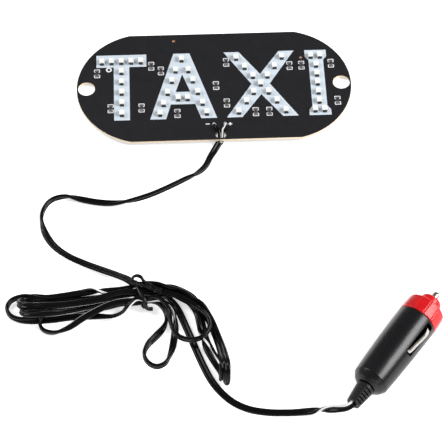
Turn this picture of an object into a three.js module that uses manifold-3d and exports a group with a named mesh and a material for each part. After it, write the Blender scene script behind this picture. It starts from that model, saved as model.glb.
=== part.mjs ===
// An LED windscreen sign light: a bare circuit board whose LEDs spell a word in block letters,
// a twin lead folded into a tied hank, and a 12 V car lighter plug with a fuse behind its screw cap.
// Millimetres, +Z up. The origin is on the surface that the board lies on, under the board's middle.

import * as THREE from "three";
import { mergeVertices } from "three/addons/utils/BufferGeometryUtils.js";
import Module from "manifold-3d";

const wasm = await Module();
wasm.setup();

// Circuit board
const BOARD_LENGTH = 150;
const BOARD_WIDTH = 75;
const BOARD_THICKNESS = 1.6;
const STRAIGHT_HALF = 45.8;
const END_HOLE_X = 69.65;
const END_HOLE_R = 4.6;
const CORD_HOLE_X = 2.3;
const CORD_HOLE_Y = -34.5;
const CORD_HOLE_HALF_WIDTH = 2.8;
const CORD_HOLE_R = 2;
const BOARD_TILT = THREE.MathUtils.degToRad(1.75);
const GAP = 0.3;

// Parts on the board
const LED_WIDTH = 2.8;
const LED_LENGTH = 3.5;
const LED_HEIGHT = 1.9;
const TRACK_WIDTH = 0.6;
const TRACK_HEIGHT = 0.2;
const RESISTOR_WIDTH = 1.6;
const RESISTOR_LENGTH = 3.2;
const RESISTOR_HEIGHT = 0.6;
const SOLDER_R = 1.3;

// Twin cord: two cores side by side, drawn as one round tube of the same area
const CORE_D = 1.9;
const CORE_TUBE_R = 0.75;
const CORD_TUBE_R = (CORE_D * Math.SQRT2) / 2;
const CORD_SIDES = 8;
const HANK_HEIGHT = 7;

// Plug, along its own axis from the rear rim of the housing
const PLUG_X = 68.9;
const PLUG_Y = -190.7;
const PLUG_ANGLE = THREE.MathUtils.degToRad(52);
const PLUG_R = 10.5;
const REAR_R = 9.2;
const REAR_FACE = -4.2;
const HOUSING_END = 41.3;
const NECK_R = 7.6;
const NECK_END = 47.6;
const BORE_R = 8;
const CAP_START = HOUSING_END + GAP;
const CAP_END = 50.5;
const NOSE_END = 56.4;
const NOSE_R = 5.7;
const PIN_R = 2;
const PIN_END = 61.9;
const FUSE_START = 12.9;
const FUSE_LENGTH = 30;
const FUSE_R = 3.2;
const CONTACT_ANGLE = THREE.MathUtils.degToRad(55);
const CONTACT_WIDTH = 2.2;
const CONTACT_THICKNESS = 0.4;
const SLOT_WIDTH = 4.6;
const SLOT_START = 20;
const SLOT_END = 40.4;
const ROUND_SEGMENTS = 32;

const sign = new THREE.Group();
const board = new THREE.Group();
board.rotation.x = -BOARD_TILT;
board.position.z = (BOARD_WIDTH / 2) * Math.sin(BOARD_TILT);
const plug = new THREE.Group();
plug.position.set(PLUG_X, PLUG_Y, PLUG_R);
plug.rotation.z = PLUG_ANGLE - Math.PI / 2;
sign.add(board, plug);

const FINISHES = {
  mask: { color: 0x222226, roughness: 0.35, metalness: 0 },
  led: { color: 0xf2f4f4, roughness: 0.4, metalness: 0 },
  resistor: { color: 0x1b1b1d, roughness: 0.4, metalness: 0 },
  solder: { color: 0xc4c6c8, roughness: 0.25, metalness: 0.9 },
  cord: { color: 0x141416, roughness: 0.4, metalness: 0 },
  tie: { color: 0x17171a, roughness: 0.5, metalness: 0 },
  plug: { color: 0x19191c, roughness: 0.35, metalness: 0 },
  cap: { color: 0xd81e26, roughness: 0.35, metalness: 0 },
  nickel: { color: 0xc9c6bf, roughness: 0.2, metalness: 1 },
  glass: { color: 0xdfe8e8, roughness: 0.05, metalness: 0 },
};

function addMesh(parent, name, finish, geometry) {
  const mesh = new THREE.Mesh(geometry, new THREE.MeshStandardMaterial(FINISHES[finish]));
  mesh.name = name;
  parent.add(mesh);
  return mesh;
}

function toSolid(geometry) {
  const bare = geometry.clone();
  bare.deleteAttribute("normal");
  bare.deleteAttribute("uv");
  const merged = mergeVertices(bare, 1e-4);
  return new wasm.Manifold(
    new wasm.Mesh({
      numProp: 3,
      vertProperties: new Float32Array(merged.attributes.position.array),
      triVerts: new Uint32Array(merged.index.array),
    }),
  );
}

function toGeometry(solid) {
  const { vertProperties, triVerts } = solid.getMesh();
  const geometry = new THREE.BufferGeometry();
  geometry.setAttribute("position", new THREE.BufferAttribute(new Float32Array(vertProperties), 3));
  geometry.setIndex(new THREE.BufferAttribute(new Uint32Array(triVerts), 1));
  return geometry;
}

function block(width, length, height, x, y, z, turn = 0) {
  const geometry = new THREE.BoxGeometry(width, length, height);
  geometry.rotateZ(turn);
  geometry.translate(x, y, z + height / 2);
  return geometry;
}

function slab(shape, bottom, height, curveSegments = 12) {
  const geometry = new THREE.ExtrudeGeometry(shape, { depth: height, bevelEnabled: false, curveSegments });
  geometry.translate(0, 0, bottom);
  return geometry;
}

function tube(curve, radius, sides, steps) {
  const section = new THREE.Shape();
  for (let i = 0; i < sides; i += 1) {
    const turn = ((i + 0.5) * 2 * Math.PI) / sides;
    const x = radius * Math.cos(turn);
    const y = radius * Math.sin(turn);
    if (i === 0) section.moveTo(x, y);
    else section.lineTo(x, y);
  }
  section.closePath();
  return new THREE.ExtrudeGeometry(section, { extrudePath: curve, steps, bevelEnabled: false });
}

function route(points) {
  return new THREE.CatmullRomCurve3(points.map((p) => new THREE.Vector3(...p)), false, "centripetal");
}

function lathe(profile, segments = ROUND_SEGMENTS) {
  return new THREE.LatheGeometry(profile.map(([r, s]) => new THREE.Vector2(r, s)), segments);
}

function closedLathe(profile, segments = ROUND_SEGMENTS) {
  return lathe([...profile, profile[0]], segments);
}

// ---- circuit board ----

function boardShape() {
  const half = BOARD_WIDTH / 2;
  const sagitta = BOARD_LENGTH / 2 - STRAIGHT_HALF;
  const radius = (half * half + sagitta * sagitta) / (2 * sagitta);
  const centre = BOARD_LENGTH / 2 - radius;
  const swing = Math.asin(half / radius);
  const outline = new THREE.Shape();
  outline.absarc(centre, 0, radius, -swing, swing, false);
  outline.absarc(-centre, 0, radius, Math.PI - swing, Math.PI + swing, false);
  outline.closePath();
  for (const side of [-1, 1]) {
    const hole = new THREE.Path();
    hole.absarc(side * END_HOLE_X, 0, END_HOLE_R, 0, 2 * Math.PI, true);
    outline.holes.push(hole);
  }
  const reach = CORD_HOLE_HALF_WIDTH - CORD_HOLE_R;
  const slot = new THREE.Path();
  slot.absarc(CORD_HOLE_X + reach, CORD_HOLE_Y, CORD_HOLE_R, Math.PI / 2, -Math.PI / 2, true);
  slot.absarc(CORD_HOLE_X - reach, CORD_HOLE_Y, CORD_HOLE_R, -Math.PI / 2, -1.5 * Math.PI, true);
  slot.closePath();
  outline.holes.push(slot);
  return outline;
}

addMesh(board, "circuit_board", "mask", slab(boardShape(), 0, BOARD_THICKNESS, 20));

// ---- LEDs, in series strings of three ----

const T_X = -50.5;
const T_PITCH_X = 5.35;
const T_ROW_Y = 18.2;
const A_X = -17.3;
const X_X = 25.4;
const I_X = 56.6;
const ROW_Y = 18.9;
const PAIR_HALF = 2.55;

const tRow = (n) => [T_X + n * T_PITCH_X, T_ROW_Y];
const tStem = (n) => [T_X, 11 - 7.37 * n];
const aLeg = (side, y) => [A_X + side * (3.5 + 0.302 * (11 - y)), y];
const aBar = (side) => [A_X + side * PAIR_HALF, -8.8];
const xArm = (side, y) => [X_X + side * (0.3 + 0.652 * Math.abs(y)), y];
const iStem = (n) => [I_X, -0.4 + 6.4 * n];
const iSerif = (side, y) => [I_X + side * PAIR_HALF, y];

const LED_STRINGS = [
  [tRow(-2), tRow(-1), tRow(0)],
  [tRow(1), tStem(0), tStem(1)],
  [tStem(2), tStem(3), tStem(4)],
  [tRow(2), [A_X, ROW_Y], xArm(-1, ROW_Y)],
  [aLeg(-1, 11), aLeg(-1, 3.6), aLeg(-1, -4.7)],
  [aLeg(-1, -19.2), aLeg(-1, -12.4), aBar(-1)],
  [aLeg(1, 11), aLeg(1, 3.6), aLeg(1, -4.7)],
  [aBar(1), aLeg(1, -12.4), aLeg(1, -19.2)],
  [xArm(-1, 12.2), xArm(-1, 5.6), [X_X, 0]],
  [xArm(1, ROW_Y), xArm(1, 12.2), xArm(1, 5.6)],
  [xArm(-1, -5.8), xArm(-1, -12.2), xArm(-1, -19.2)],
  [xArm(1, -5.8), xArm(1, -12.2), xArm(1, -19.2)],
  [iSerif(-1, ROW_Y), iSerif(1, ROW_Y), iStem(2)],
  [iStem(1), iStem(0), iStem(-1)],
  [iStem(-2), iSerif(-1, -19.2), iSerif(1, -19.2)],
];

function ledString(places) {
  const base = BOARD_THICKNESS + GAP;
  let solid = null;
  const join = (geometry) => {
    solid = solid ? solid.add(toSolid(geometry)) : toSolid(geometry);
  };
  for (const [x, y] of places) join(block(LED_WIDTH, LED_LENGTH, LED_HEIGHT, x, y, base));
  for (let i = 1; i < places.length; i += 1) {
    const [x0, y0] = places[i - 1];
    const [x1, y1] = places[i];
    const length = Math.hypot(x1 - x0, y1 - y0);
    const turn = Math.atan2(y1 - y0, x1 - x0);
    join(block(length, TRACK_WIDTH, TRACK_HEIGHT, (x0 + x1) / 2, (y0 + y1) / 2, base, turn));
  }
  return toGeometry(solid);
}

LED_STRINGS.forEach((places, i) => {
  addMesh(board, `led_string_${String(i + 1).padStart(2, "0")}`, "led", ledString(places));
});

// ---- chip resistors, one for each string ----

const RESISTORS = [
  [-63.9, 10.6],
  [-34.1, 15],
  [-28.9, 11.4],
  [-56.6, -14.3],
  [-39.9, -14.4],
  [-20.6, -18.9],
  [7.2, 16.3],
  [1, -0.1],
  [6.4, -12.6],
  [21.8, -19.2],
  [29.2, -19.2],
  [42, 12.7],
  [48.6, 12.8],
  [64.9, 13.6],
  [66.7, -12.9],
];

RESISTORS.forEach(([x, y], i) => {
  const body = block(RESISTOR_WIDTH, RESISTOR_LENGTH, RESISTOR_HEIGHT, x, y, BOARD_THICKNESS + GAP);
  addMesh(board, `resistor_${String(i + 1).padStart(2, "0")}`, "resistor", body);
});

// ---- the two cores, from their solder joints down through the cord hole ----

const PADS = { minus: [-1.1, -26.9], plus: [4.9, -26.9] };

function solderJoint([x, y]) {
  const dome = lathe([[0, 0], [SOLDER_R, 0], [SOLDER_R * 0.92, 0.45], [SOLDER_R * 0.6, 0.85], [0, 1]], 16);
  dome.rotateX(Math.PI / 2);
  dome.translate(x, y, BOARD_THICKNESS + GAP);
  return dome;
}

function coreRoute([x, y], side) {
  const hole = CORD_HOLE_X + (side * CORE_D) / 2;
  const top = BOARD_THICKNESS;
  return route([
    [x, y - SOLDER_R - GAP, top + 1.15],
    [x + (hole - x) * 0.35, y - 3.6, top + 1.35],
    [x + (hole - x) * 0.85, CORD_HOLE_Y + 2.7, top + 1.15],
    [hole, CORD_HOLE_Y, top / 2],
    [hole - 0.3, CORD_HOLE_Y - 2, -0.95],
    [hole - 0.8, CORD_HOLE_Y - 3.3, -1.15],
  ]);
}

addMesh(board, "solder_joint_minus", "solder", solderJoint(PADS.minus));
addMesh(board, "solder_joint_plus", "solder", solderJoint(PADS.plus));
addMesh(board, "core_minus", "cord", tube(coreRoute(PADS.minus, -1), CORE_TUBE_R, CORD_SIDES, 16));
addMesh(board, "core_plus", "cord", tube(coreRoute(PADS.plus, 1), CORE_TUBE_R, CORD_SIDES, 16));

// ---- twin cord: board lead, tied hank, plug lead ----

const LIE_Z = CORD_TUBE_R;

const BOARD_LEAD = [
  [1, -38.2, LIE_Z],
  [-1.2, -42, LIE_Z],
  [-3.6, -46.4, LIE_Z],
  [-6.8, -53, LIE_Z],
  [-11.5, -57.8, LIE_Z],
  [-18, -61.5, LIE_Z],
  [-27, -66.4, LIE_Z],
  [-36, -70.7, LIE_Z],
  [-45.5, -73.8, LIE_Z],
  [-55, -74.9, LIE_Z],
  [-64, -73.9, LIE_Z],
  [-72, -72, LIE_Z],
  [-80.5, -70.2, LIE_Z],
  [-88.4, -72.7, LIE_Z],
  [-92.8, -80.5, LIE_Z],
  [-92, -90.5, LIE_Z],
  [-86.8, -100.2, LIE_Z],
  [-79.4, -107, LIE_Z],
  [-71, -112, LIE_Z + 0.4],
  [-62, -117, LIE_Z + 1.6],
  [-54, -121.6, LIE_Z + 3],
  [-49.6, -124.1, LIE_Z + 3.6],
];

const PLUG_LEAD = [
  [-16.3, -162.2, LIE_Z],
  [-14.2, -168.4, LIE_Z],
  [-11.6, -175.4, LIE_Z],
  [-8.4, -182.6, LIE_Z],
  [-3.9, -189.4, LIE_Z],
  [2.2, -195.4, LIE_Z],
  [9.6, -199.3, LIE_Z],
  [19.4, -201.4, LIE_Z],
  [29.6, -201.9, LIE_Z],
  [37.6, -202.3, LIE_Z + 1.2],
  [44.6, -203.2, LIE_Z + 3.8],
  [50.8, -204.6, LIE_Z + 6.8],
  [55.6, -205.2, LIE_Z + 8.7],
  [58.6, -203.9, LIE_Z + 9.1],
];

const LEFT_LOOPS = [
  [-45.9, -126.4],
  [-64, -126.1],
  [-82, -127.7],
  [-97, -127.6],
  [-105.5, -128.8],
  [-110.8, -132.9],
  [-111.4, -138.2],
  [-108.6, -143],
  [-103, -145.7],
  [-95.5, -146.2],
  [-91.5, -151],
  [-85.6, -153],
  [-78.6, -151.4],
  [-71, -146.5],
  [-62, -145],
  [-54, -145.2],
  [-45.9, -143.6],
];

const RIGHT_LOOPS = [
  [-36.9, -138.9],
  [-32, -141],
  [-30.6, -147],
  [-29.6, -152.4],
  [-26, -158.2],
  [-19, -160.3],
  [-11.6, -159.2],
  [-6.4, -154.6],
  [-5.6, -147.6],
  [-7.4, -141],
  [-12.6, -134.2],
  [-20.5, -129.4],
  [-29, -127.4],
  [-36.9, -126.9],
];

const LONG_LOOP = [
  [-5.8, -156.2],
  [-2.6, -154],
  [0.2, -166],
  [1.6, -180],
  [0.6, -185.8],
  [-2.2, -187],
  [-5.2, -183.2],
  [-8.6, -175.2],
  [-11.4, -168.2],
  [-12.6, -161],
];

const TEARDROP_LOOP = [
  [-31.2, -152.6],
  [-37, -155.6],
  [-41.6, -161.2],
  [-42.9, -166.4],
  [-40.7, -172],
  [-35, -174.8],
  [-29.3, -172.9],
  [-26.5, -166.4],
  [-25.5, -160.4],
  [-28.2, -158.6],
];

// An outline through these points. An open one closes with the straight face that meets the waist.
function outline(points, closed) {
  const knots = points.map(([x, y]) => new THREE.Vector3(x, y, 0));
  const curve = new THREE.CatmullRomCurve3(knots, closed, "centripetal");
  const along = curve.getPoints(points.length * 3);
  if (closed) along.pop();
  return new THREE.Shape(along.map((p) => new THREE.Vector2(p.x, p.y)));
}

const WAIST = { x0: -45.6, x1: -37.2, y0: -139, y1: -127, bottom: 1.1, height: 5.8 };

function waistBlock() {
  const { x0, x1, y0, y1, bottom, height } = WAIST;
  return block(x1 - x0, y1 - y0, height, (x0 + x1) / 2, (y0 + y1) / 2, bottom);
}

addMesh(sign, "cord_board_lead", "cord", tube(route(BOARD_LEAD), CORD_TUBE_R, CORD_SIDES, 26));
addMesh(sign, "cord_hank_left", "cord", slab(outline(LEFT_LOOPS, false), 0, HANK_HEIGHT));
addMesh(sign, "cord_hank_waist", "cord", waistBlock());
addMesh(sign, "cord_hank_right", "cord", slab(outline(RIGHT_LOOPS, false), 0, HANK_HEIGHT));
addMesh(sign, "cord_long_loop", "cord", slab(outline(LONG_LOOP, true), 0, HANK_HEIGHT));
addMesh(sign, "cord_teardrop_loop", "cord", slab(outline(TEARDROP_LOOP, true), 0, HANK_HEIGHT));
addMesh(sign, "cord_plug_lead", "cord", tube(route(PLUG_LEAD), CORD_TUBE_R, CORD_SIDES, 18));

// ---- twist tie: a band round the hank's waist, with its twisted ends lying on top ----

const TIE_WALL = 0.7;
const TIE_WIDTH = 2.4;
const TIE_X = -42.2;

function twistTie() {
  const { y0, y1, bottom, height } = WAIST;
  const width = y1 - y0 + 2 * (GAP + TIE_WALL);
  const tall = height + 2 * (GAP + TIE_WALL);
  const middle = (y0 + y1) / 2;
  const low = bottom - GAP - TIE_WALL;
  const outer = toSolid(block(TIE_WIDTH, width, tall, TIE_X, middle, low));
  const hollow = toSolid(
    block(TIE_WIDTH + 2, width - 2 * TIE_WALL, tall - 2 * TIE_WALL, TIE_X, middle, low + TIE_WALL),
  );
  const top = low + tall;
  const ends = route([
    [TIE_X - 1.6, y1 + 2.4, top - 0.2],
    [TIE_X + 0.6, y1 + 0.6, top + 0.5],
    [TIE_X + 4.6, y1 - 1.2, top + 0.9],
    [TIE_X + 10.6, y1 - 3, top + 1.1],
  ]);
  return toGeometry(outer.subtract(hollow).add(toSolid(tube(ends, 1.2, 8, 10))));
}

addMesh(sign, "twist_tie", "tie", twistTie());

// ---- lighter plug ----

function strainRelief() {
  const small = 3.1;
  const large = 4.8;
  const end = -15.7;
  const start = REAR_FACE - GAP;
  const rings = 5;
  const outer = [];
  for (let i = 0; i < rings; i += 1) {
    const from = end + ((start - end) * i) / rings;
    const to = end + ((start - end) * (i + 0.55)) / rings;
    const r = small + ((large - small) * (i + 0.3)) / rings;
    outer.push([r, from], [r, to], [r - 0.5, to], [r - 0.5, end + ((start - end) * (i + 1)) / rings]);
  }
  outer.push([3, start], [3, 2], [2, 2], [2, end]);
  return closedLathe(outer, 24);
}

function plugHousing() {
  const boreEnd = 39.4;
  const flangeEnd = 43.4;
  const pocket = FUSE_R + GAP;
  const shell = toSolid(
    closedLathe([
      [3.4, REAR_FACE],
      [5.3, REAR_FACE],
      [7.8, REAR_FACE + 1.6],
      [REAR_R, 0],
      [9.7, 9],
      [10.15, 22],
      [PLUG_R, HOUSING_END],
      [NECK_R, HOUSING_END],
      [NECK_R, NECK_END],
      [6.2, NECK_END],
      [6.2, flangeEnd],
      [pocket, flangeEnd],
      [pocket, boreEnd],
      [BORE_R, boreEnd],
      [BORE_R, 13.2],
      [5.2, 13.2],
      [5.2, 19.5],
      [pocket, 19.5],
      [pocket, 11],
      [2, 11],
      [2, 5],
      [3.4, 5],
    ]),
  );
  let solid = shell;
  for (const angle of [CONTACT_ANGLE, CONTACT_ANGLE + Math.PI]) {
    const slot = new THREE.BoxGeometry(SLOT_WIDTH, SLOT_END - SLOT_START, 7);
    slot.translate(0, (SLOT_START + SLOT_END) / 2, 6 + 3.5);
    slot.rotateY(angle);
    solid = solid.subtract(toSolid(slot));
  }
  return toGeometry(solid);
}

function screwCap() {
  const shoulder = 52.3;
  return closedLathe([
    [BORE_R, CAP_START],
    [10.42, CAP_START],
    [10.42, CAP_START + 1.2],
    [9.95, CAP_END],
    [NOSE_R + 0.5, CAP_END + 0.5],
    [NOSE_R, CAP_END + 1],
    [NOSE_R - 0.2, NOSE_END - 0.7],
    [NOSE_R - 0.8, NOSE_END],
    [PIN_R + GAP, NOSE_END],
    [PIN_R + GAP, shoulder],
    [3.5, shoulder],
    [3.5, 49.2],
    [BORE_R, 49.2],
  ]);
}

function contactPin() {
  const dome = [];
  for (let i = 0; i <= 4; i += 1) {
    const turn = (i * Math.PI) / 8;
    dome.push([PIN_R * Math.cos(turn), PIN_END - PIN_R + PIN_R * Math.sin(turn)]);
  }
  dome[dome.length - 1][0] = 0;
  return lathe([[0, 48.9], [1.5, 48.9], [1.5, 50.7], [3.2, 50.7], [3.2, 52], [PIN_R, 52], ...dome], 24);
}

class Helix extends THREE.Curve {
  constructor(radius, start, length, turns) {
    super();
    Object.assign(this, { radius, start, length, turns });
  }

  getPoint(t, target = new THREE.Vector3()) {
    const turn = 2 * Math.PI * this.turns * t;
    const axial = this.start + this.length * t;
    return target.set(this.radius * Math.cos(turn), axial, this.radius * Math.sin(turn));
  }
}

function fuseCap(closedEnd, openEnd) {
  const wall = 0.25;
  const inside = closedEnd + Math.sign(openEnd - closedEnd) * 0.4;
  const profile = [
    [0, closedEnd],
    [FUSE_R, closedEnd],
    [FUSE_R, openEnd],
    [FUSE_R - wall, openEnd],
    [FUSE_R - wall, inside],
    [0, inside],
  ];
  return lathe(openEnd > closedEnd ? profile : profile.reverse(), 24);
}

function contactStrip() {
  const middle = [
    [19.2, 7],
    [20.4, 7.5],
    [22.2, 9.5],
    [27, 10.5],
    [31, 11.3],
    [34, 11.7],
    [36.6, 11.2],
    [39.4, 8.9],
  ];
  const face = (offset) =>
    middle.map(([s, r], i) => {
      const [s0, r0] = middle[Math.max(i - 1, 0)];
      const [s1, r1] = middle[Math.min(i + 1, middle.length - 1)];
      const step = offset / Math.hypot(s1 - s0, r1 - r0);
      return new THREE.Vector2(s - step * (r1 - r0), r + step * (s1 - s0));
    });
  const half = CONTACT_THICKNESS / 2;
  const shape = new THREE.Shape([...face(-half), ...face(half).reverse()]);
  const geometry = new THREE.ExtrudeGeometry(shape, { depth: CONTACT_WIDTH, bevelEnabled: false });
  geometry.translate(0, 0, -CONTACT_WIDTH / 2);
  const toPlug = new THREE.Matrix4().makeBasis(
    new THREE.Vector3(0, 1, 0),
    new THREE.Vector3(0, 0, 1),
    new THREE.Vector3(1, 0, 0),
  );
  geometry.applyMatrix4(toPlug);
  return geometry;
}

const fuseEnd = FUSE_START + FUSE_LENGTH;

addMesh(plug, "strain_relief", "plug", strainRelief());
addMesh(plug, "plug_housing", "plug", plugHousing());
addMesh(plug, "screw_cap", "cap", screwCap());
addMesh(plug, "contact_pin", "nickel", contactPin());
addMesh(plug, "pin_spring", "nickel", tube(new Helix(2.3, 43.5, 6.7, 5), 0.25, 6, 60));
addMesh(plug, "fuse_cap_rear", "nickel", fuseCap(FUSE_START, FUSE_START + 6));
addMesh(plug, "fuse_cap_front", "nickel", fuseCap(fuseEnd, fuseEnd - 6));
addMesh(plug, "fuse_glass", "glass", closedLathe([
  [2.1, FUSE_START + 0.7],
  [2.65, FUSE_START + 0.7],
  [2.65, fuseEnd - 0.7],
  [2.1, fuseEnd - 0.7],
], 24));
addMesh(plug, "fuse_wire", "nickel", lathe([
  [0, FUSE_START + 0.7],
  [0.15, FUSE_START + 0.7],
  [0.15, fuseEnd - 0.7],
  [0, fuseEnd - 0.7],
], 8));
const rearContactProfile = [[0, 7], [0.9, 7], [0.9, 11.3], [3, 11.3], [3, 12.6], [0, 12.6]];
addMesh(plug, "rear_contact", "nickel", lathe(rearContactProfile, 24));
addMesh(plug, "earth_ring", "nickel", closedLathe([[6.2, 14.4], [7.5, 14.4], [7.5, 18.7], [6.2, 18.7]]));
for (const [name, angle] of [["right", CONTACT_ANGLE], ["left", CONTACT_ANGLE + Math.PI]]) {
  const strip = addMesh(plug, `earth_contact_${name}`, "nickel", contactStrip());
  strip.rotation.y = angle;
}

export default sign;
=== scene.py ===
"""An LED windscreen sign light: a bare circuit board with a word in LEDs, a twin lead in a tied hank,
and a 12 V lighter plug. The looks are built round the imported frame. Lengths are in millimetres until
a mesh is made, and in metres after that. +Z is up."""

import math

import bmesh
import bpy
import numpy as np
from mathutils import Matrix, Vector


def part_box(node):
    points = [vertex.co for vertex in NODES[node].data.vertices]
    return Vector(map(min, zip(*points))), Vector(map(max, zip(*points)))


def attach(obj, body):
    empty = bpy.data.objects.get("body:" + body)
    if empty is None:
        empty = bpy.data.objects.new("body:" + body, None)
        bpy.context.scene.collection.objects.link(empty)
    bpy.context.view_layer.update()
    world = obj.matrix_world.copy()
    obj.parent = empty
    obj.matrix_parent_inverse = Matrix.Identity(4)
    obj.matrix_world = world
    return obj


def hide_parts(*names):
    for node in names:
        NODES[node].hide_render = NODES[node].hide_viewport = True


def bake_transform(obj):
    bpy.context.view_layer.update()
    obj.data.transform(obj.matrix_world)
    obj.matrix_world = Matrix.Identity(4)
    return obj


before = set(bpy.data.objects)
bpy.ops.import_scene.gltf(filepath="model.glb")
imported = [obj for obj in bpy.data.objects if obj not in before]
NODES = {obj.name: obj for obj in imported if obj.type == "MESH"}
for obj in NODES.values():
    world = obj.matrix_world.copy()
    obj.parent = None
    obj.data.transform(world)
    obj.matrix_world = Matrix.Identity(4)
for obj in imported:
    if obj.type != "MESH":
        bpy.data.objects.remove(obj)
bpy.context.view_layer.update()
MM = 0.001

# Circuit board, in its own frame: X along it, Y across it, Z up from its back
BOARD_HALF_LENGTH = 75
BOARD_HALF_WIDTH = 37.5
BOARD_THICKNESS = 1.6
STRAIGHT_HALF = 45.8
BOARD_TILT = math.radians(1.75)
END_HOLE_X = 69.65
END_HOLE_R = 4.6
CORD_HOLE = (2.3, -34.5)
CORD_HOLE_HALF_WIDTH = 2.8
CORD_HOLE_R = 2
PRINT_THICKNESS = 0.04

# Parts on the board
LED_WIDTH = 2.8
LED_LENGTH = 3.5
LED_HEIGHT = 1.9
LED_GAP = 0.3
CORE_R = 0.95

# Plug, along its own axis from the rear rim of the housing
PLUG_BASE = (68.9, -190.7, 10.5)
PLUG_ANGLE = math.radians(52)
CONTACT_ANGLE = math.radians(55)
SLOT_START = 20
SLOT_END = 40.4
SLOT_HALF_WIDTH = 2.3
SLIT_ANGLE = math.radians(45)
FUSE_START = 12.9
FUSE_LENGTH = 30
FUSE_R = 3.2

BOARD_LIFT = BOARD_HALF_WIDTH * math.sin(BOARD_TILT)
BOARD = Matrix.Translation((0, 0, BOARD_LIFT)) @ Matrix.Rotation(-BOARD_TILT, 4, "X")
PLUG = Matrix.Translation(PLUG_BASE) @ Matrix.Rotation(PLUG_ANGLE - math.pi / 2, 4, "Z")
ON_BOARD = BOARD @ Matrix.Translation((0, 0, BOARD_THICKNESS))


# ---- camera ----

def make_camera():
    eye = Vector((-27.2, -627.9, 804.7)) * MM
    target = Vector((1.67, -89.37, 0)) * MM
    data = bpy.data.cameras.new("camera")
    data.lens = 149.4
    data.sensor_width = 36
    data.clip_start = 0.02
    data.clip_end = 20
    camera = bpy.data.objects.new("camera", data)
    bpy.context.scene.collection.objects.link(camera)
    turn = (target - eye).to_track_quat("-Z", "Y").to_matrix().to_4x4()
    camera.matrix_world = Matrix.Translation(eye) @ turn @ Matrix.Rotation(math.radians(0.825), 4, "Z")
    bpy.context.scene.camera = camera


make_camera()


# ---- materials ----

class Nodes:
    """A material's node tree, with short calls for what the finishes here need."""

    def __init__(self, name):
        self.material = bpy.data.materials.new(name)
        self.material.use_nodes = True
        self.tree = self.material.node_tree
        self.shader = self.tree.nodes["Principled BSDF"]
        self.place = self.add("ShaderNodeTexCoord").outputs["Object"]

    def add(self, kind, **settings):
        node = self.tree.nodes.new(kind)
        for key, value in settings.items():
            setattr(node, key, value)
        return node

    def link(self, output, socket):
        self.tree.links.new(output, socket)

    def noise(self, scale, detail=3, stretch=(1, 1, 1)):
        mapping = self.add("ShaderNodeMapping")
        mapping.inputs["Scale"].default_value = stretch
        self.link(self.place, mapping.inputs["Vector"])
        noise = self.add("ShaderNodeTexNoise")
        noise.inputs["Scale"].default_value = scale
        noise.inputs["Detail"].default_value = detail
        self.link(mapping.outputs["Vector"], noise.inputs["Vector"])
        return noise.outputs["Fac"]

    def spread(self, value, low, high):
        remap = self.add("ShaderNodeMapRange")
        remap.inputs["From Min"].default_value = 0.3
        remap.inputs["From Max"].default_value = 0.7
        remap.inputs["To Min"].default_value = low
        remap.inputs["To Max"].default_value = high
        self.link(value, remap.inputs["Value"])
        return remap.outputs["Result"]

    def colours(self, value, *stops):
        ramp = self.add("ShaderNodeValToRGB")
        points = ramp.color_ramp.elements
        while len(points) < len(stops):
            points.new(0.5)
        for point, (at, colour) in zip(points, stops):
            point.position = at
            point.color = (*colour, 1)
        self.link(value, ramp.inputs["Fac"])
        self.link(ramp.outputs["Color"], self.shader.inputs["Base Color"])

    def bump(self, value, depth_mm, strength=1.0):
        bump = self.add("ShaderNodeBump")
        bump.inputs["Strength"].default_value = strength
        bump.inputs["Distance"].default_value = depth_mm * MM
        self.link(value, bump.inputs["Height"])
        self.link(bump.outputs["Normal"], self.shader.inputs["Normal"])

    def set(self, **values):
        for key, value in values.items():
            self.shader.inputs[key.replace("_", " ")].default_value = value


def shade(colour, factor):
    return tuple(min(1.0, c * factor) for c in colour)


def finish(name, colour, rough, grain, bump, vary=0.25, stretch=(1, 1, 1), **constants):
    """A moulded, printed or plated surface: mottled colour, uneven gloss and a fine relief.
    grain is the size of the relief's features in millimetres, bump their depth."""
    m = Nodes(name)
    broad = m.noise(1 / (9 * grain * MM), 4, stretch)
    fine = m.noise(1 / (grain * MM), 3, stretch)
    m.colours(broad, (0.3, shade(colour, 1 - vary)), (0.7, shade(colour, 1 + vary)))
    m.link(m.spread(fine, rough * 0.85, rough * 1.2), m.shader.inputs["Roughness"])
    m.bump(fine, bump)
    m.set(**constants)
    return m.material


def laminate():
    """The cut edge of glass-epoxy board: cream layers with darker fibre lines."""
    m = Nodes("laminate")
    layers = m.noise(900, 3, (1, 1, 9))
    m.colours(layers, (0.3, (0.55, 0.40, 0.24)), (0.5, (0.80, 0.66, 0.48)), (0.7, (0.88, 0.78, 0.64)))
    m.link(m.spread(layers, 0.45, 0.7), m.shader.inputs["Roughness"])
    m.bump(layers, 0.03)
    return m.material


def clear_glass():
    m = Nodes("glass")
    m.colours(m.noise(600, 2), (0.3, (0.90, 0.94, 0.93)), (0.7, (0.97, 0.99, 0.98)))
    m.link(m.spread(m.noise(900, 2), 0.02, 0.06), m.shader.inputs["Roughness"])
    m.set(Transmission_Weight=1.0, IOR=1.5)
    return m.material


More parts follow.
